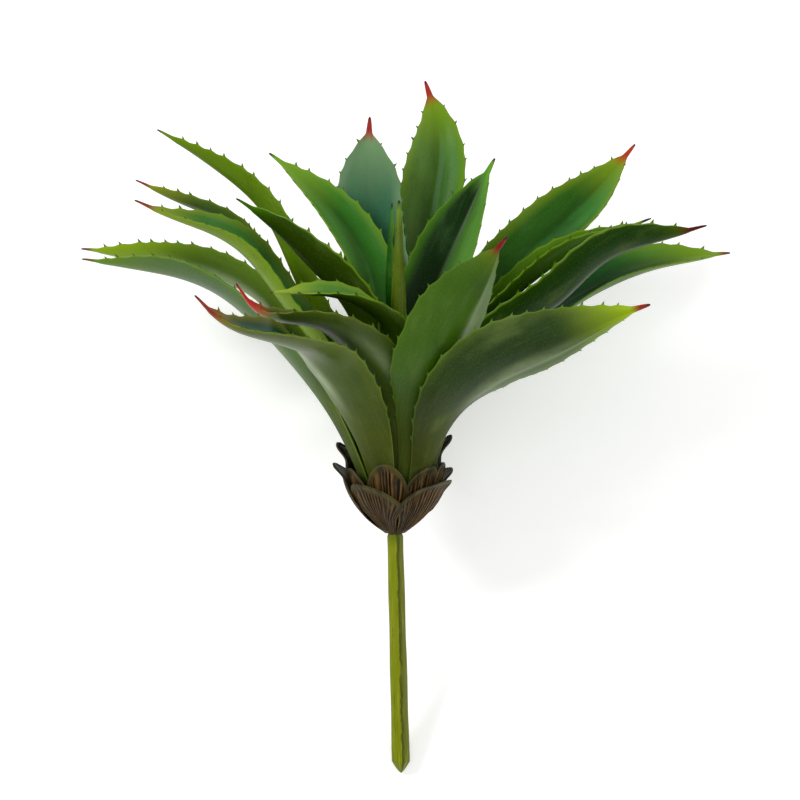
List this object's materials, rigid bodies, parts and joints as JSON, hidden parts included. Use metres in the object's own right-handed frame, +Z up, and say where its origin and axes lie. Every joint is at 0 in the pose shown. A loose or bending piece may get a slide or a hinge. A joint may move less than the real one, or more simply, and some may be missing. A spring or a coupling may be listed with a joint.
{
  "type": "artificial aloe plant pick",
  "caption": "Artificial aloe on a short ribbed stem: a rosette of channelled, toothed, spike-tipped leaves in a collar of husks, laid down on its back.",
  "frame": {"origin": "centre of the bounding box's bottom, on the surface the plant lies on", "axes": "+Z up, out of the side of the rosette that is shown; +Y from the stem's cut point towards the leaf tips; +X to the right seen from above with the stem at the bottom"},
  "size_m": [0.335, 0.3488, 0.1789],
  "materials": {
    "stem": "semi-gloss moulded, painted yellow-green and olive",
    "leaf": "semi-gloss moulded, green with yellow-green edges and red tips",
    "husk": "satin moulded, brown with olive rims"
  },
  "bodies": {
    "root": {"husk_back": "husk", "husk_front_left": "husk", "husk_front_right": "husk", "husk_inner_back": "husk", "husk_inner_back_left": "husk", "husk_inner_back_right": "husk", "husk_inner_front": "husk", "husk_inner_front_right": "husk", "husk_inner_left": "husk", "husk_inner_right": "husk", "husk_left": "husk", "husk_right": "husk", "leaf_back_left_low": "leaf", "leaf_back_low": "leaf", "leaf_back_right_low": "leaf", "leaf_front_centre": "leaf", "leaf_front_left": "leaf", "leaf_front_left_upper": "leaf", "leaf_front_right_low": "leaf", "leaf_heart": "leaf", "leaf_heart_small": "leaf", "leaf_left_back": "leaf", "leaf_left_centre": "leaf", "leaf_left_inner": "leaf", "leaf_left_low": "leaf", "leaf_left_middle": "leaf", "leaf_left_upper": "leaf", "leaf_right_back": "leaf", "leaf_right_low": "leaf", "leaf_right_middle": "leaf", "leaf_right_upper": "leaf", "leaf_top": "leaf", "leaf_top_left": "leaf", "leaf_upper_left": "leaf", "leaf_upper_left_inner": "leaf", "leaf_upper_right": "leaf", "stem": "stem"}
  },
  "joints": []
}
